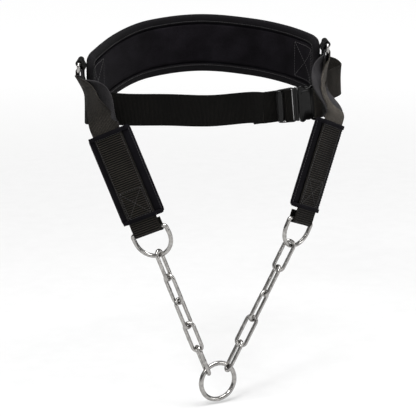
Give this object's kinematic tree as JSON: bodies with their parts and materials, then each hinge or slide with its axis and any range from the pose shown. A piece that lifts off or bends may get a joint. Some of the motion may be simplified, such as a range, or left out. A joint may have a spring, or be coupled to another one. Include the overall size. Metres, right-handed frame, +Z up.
{
  "type": "neck training harness",
  "caption": "Neck training harness: padded head band, front strap with side-release buckle, padded side straps, D-rings, steel chain and a central ring for weights.",
  "frame": {"origin": "middle of the head opening, level with the lower half of the band's ends", "axes": "+X to the right as the front is faced, +Y to the back of the head, +Z up"},
  "size_m": [0.3458, 0.2151, 0.449],
  "materials": {
    "foam": "cloth-faced foam, matte",
    "brushed_lining": "brushed loop cloth",
    "binding_tape": "fine twill tape",
    "webbing": "ribbed webbing",
    "buckle_plastic": "moulded, glossy",
    "steel": "satin, plated"
  },
  "bodies": {
    "harness": {"band_core": "foam", "band_lining": "brushed_lining", "band_binding": "binding_tape", "end_ring_left": "steel", "end_ring_right": "steel", "ring_tab_left": "webbing", "ring_tab_right": "webbing", "sleeve_left": "foam", "sleeve_right": "foam", "side_strap_left": "webbing", "side_strap_right": "webbing", "d_ring_left": "steel", "d_ring_right": "steel", "chain_left_1": "steel", "chain_left_2": "steel", "chain_left_3": "steel", "chain_left_4": "steel", "chain_left_5": "steel", "chain_right_1": "steel", "chain_right_2": "steel", "chain_right_3": "steel", "chain_right_4": "steel", "chain_right_5": "steel", "head_strap": "webbing", "buckle_plate": "buckle_plastic", "buckle_body": "buckle_plastic", "strap_loop": "webbing"},
    "ring": {"central_ring": "steel"}
  },
  "joints": [
    {"name": "ring_swing", "type": "hinge", "parent": "harness", "child": "ring", "pos_m": [-0.009, -0.085, -0.34109], "axis": [0.9781, 0.2079, 0], "range_deg": [-15, 20]}
  ]
}
